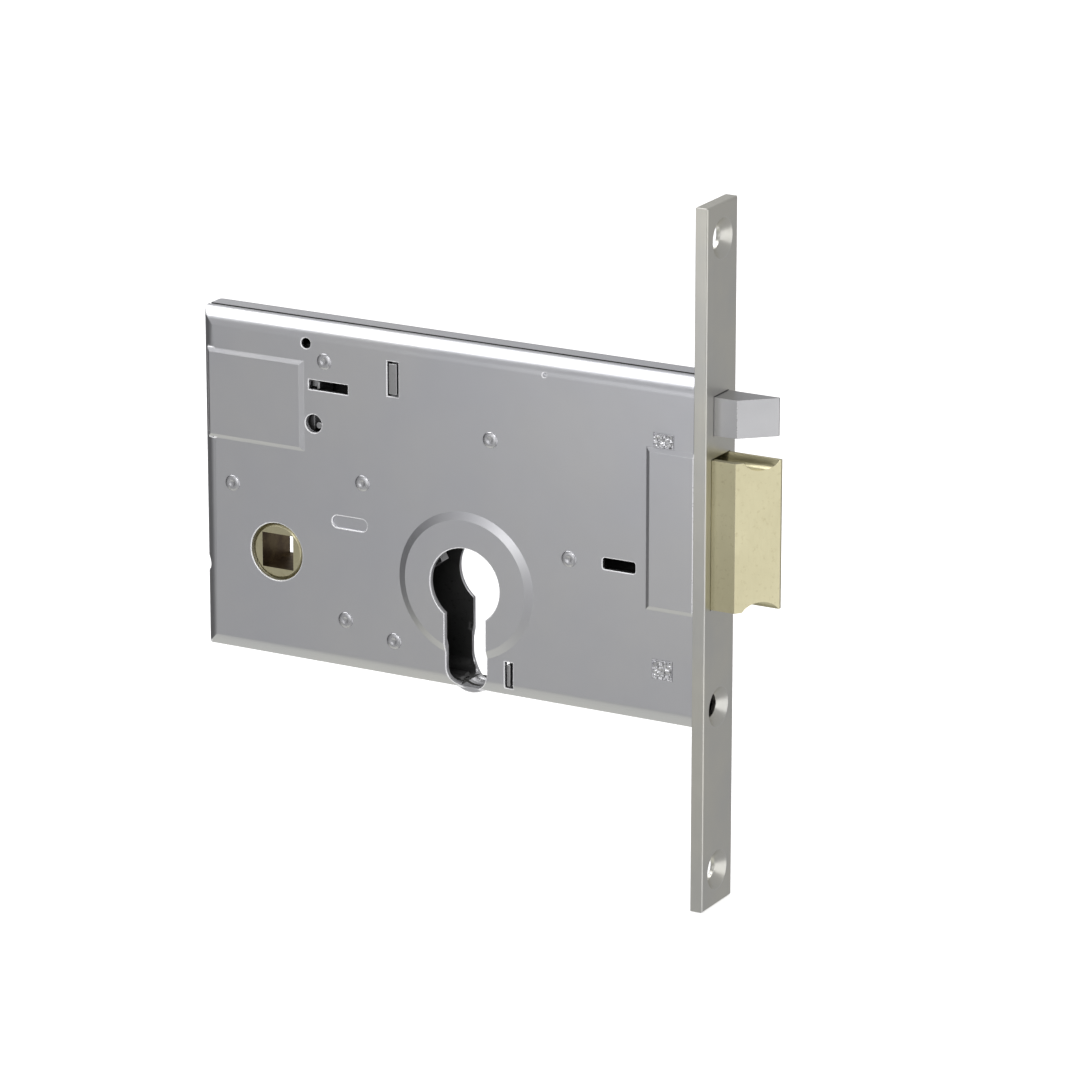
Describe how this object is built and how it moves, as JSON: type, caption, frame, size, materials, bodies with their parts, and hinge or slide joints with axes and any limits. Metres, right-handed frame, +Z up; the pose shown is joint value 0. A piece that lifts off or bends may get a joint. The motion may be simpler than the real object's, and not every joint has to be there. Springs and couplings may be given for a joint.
{
  "type": "electric mortise lock",
  "caption": "Electric mortise lock for narrow metal doors: flat steel case, long forend, bevelled brass latch, reloading trigger, profile cylinder hole and square follower.",
  "frame": {"origin": "axis of the profile cylinder hole on the middle plane of the case", "axes": "+X towards the forend, the way the bolts are thrown; -Y towards the cover; +Z up along the forend"},
  "size_m": [0.1418, 0.0144, 0.16],
  "materials": {
    "case_sheet": "satin zinc plated sheet",
    "forend_steel": "satin nickel plated steel",
    "bolt_steel": "zinc plated sintered steel",
    "brass": "plain cast brass",
    "plain_steel": "zinc plated",
    "spring_wire": "drawn spring wire",
    "moulding": "moulded, matt",
    "copper": "enamelled copper wire",
    "lead_insulation": "soft sleeve"
  },
  "bodies": {
    "case": {"case_tray": "case_sheet", "case_cover": "case_sheet", "forend": "forend_steel", "front_bracket": "plain_steel", "armature_post": "plain_steel", "release_post": "plain_steel", "tail_guide_post": "plain_steel", "spring_stop_post": "plain_steel", "follower_spring_post": "plain_steel", "lever_post": "plain_steel", "front_spacer_post": "plain_steel", "cylinder_screw_guide": "plain_steel", "loading_spring_anchor": "plain_steel", "latch_spring_stop": "plain_steel", "coil_yoke": "plain_steel", "coil_core": "plain_steel", "coil_bobbin": "moulding", "coil_winding": "copper", "coil_leads": "lead_insulation", "terminal_block": "moulding", "terminal_screws": "brass", "latch_spring": "spring_wire", "loading_spring": "spring_wire", "follower_spring": "spring_wire", "lever_spring": "spring_wire", "armature_spring": "spring_wire", "release_spring": "spring_wire"},
    "latch": {"latch_head": "brass", "latch_tail": "plain_steel", "tail_rivets": "plain_steel", "latch_spring_rod": "plain_steel"},
    "trigger": {"trigger_bolt": "bolt_steel", "loading_rod": "plain_steel", "rod_cross_pin": "plain_steel", "loading_spring_collar": "plain_steel"},
    "follower": {"follower": "brass"},
    "cylinder_lever": {"cylinder_lever": "plain_steel"},
    "armature": {"armature": "plain_steel", "armature_stud": "plain_steel"},
    "release_lever": {"release_lever": "plain_steel"}
  },
  "joints": [
    {"name": "latch_slide", "type": "slide", "parent": "case", "child": "latch", "axis": [-1, 0, 0], "range_m": [0, 0.0128], "stiffness_N_per_m": 400, "springref_m": -0.01, "deforming": ["latch_spring"]},
    {"name": "trigger_slide", "type": "slide", "parent": "case", "child": "trigger", "axis": [-1, 0, 0], "range_m": [0, 0.0125], "stiffness_N_per_m": 300, "springref_m": -0.008, "deforming": ["loading_spring"]},
    {"name": "follower_turn", "type": "hinge", "parent": "case", "child": "follower", "pos_m": [-0.0492, 0, 0.0005], "axis": [0, -1, 0], "range_deg": [0, 40.5]},
    {"name": "cylinder_lever_turn", "type": "hinge", "parent": "case", "child": "cylinder_lever", "pos_m": [-0.0186, 0, -0.0159], "axis": [0, -1, 0], "range_deg": [0, 24.91]},
    {"name": "armature_tilt", "type": "hinge", "parent": "case", "child": "armature", "pos_m": [-0.0361, 0, 0.0468], "axis": [0, 1, 0], "range_deg": [0, 3.6], "stiffness_Nm_per_rad": 0.02, "springref_deg": -5.73},
    {"name": "release_lever_turn", "type": "hinge", "parent": "case", "child": "release_lever", "pos_m": [-0.0606, 0, 0.0151], "axis": [0, 1, 0], "range_deg": [0, 2.7]}
  ],
  "couplings": [
    {"joint": "follower_turn", "follows": "latch_slide", "rad_per_m": 55.195},
    {"joint": "cylinder_lever_turn", "follows": "latch_slide", "rad_per_m": 33.936},
    {"joint": "release_lever_turn", "follows": "armature_tilt", "ratio": 0.75}
  ]
}
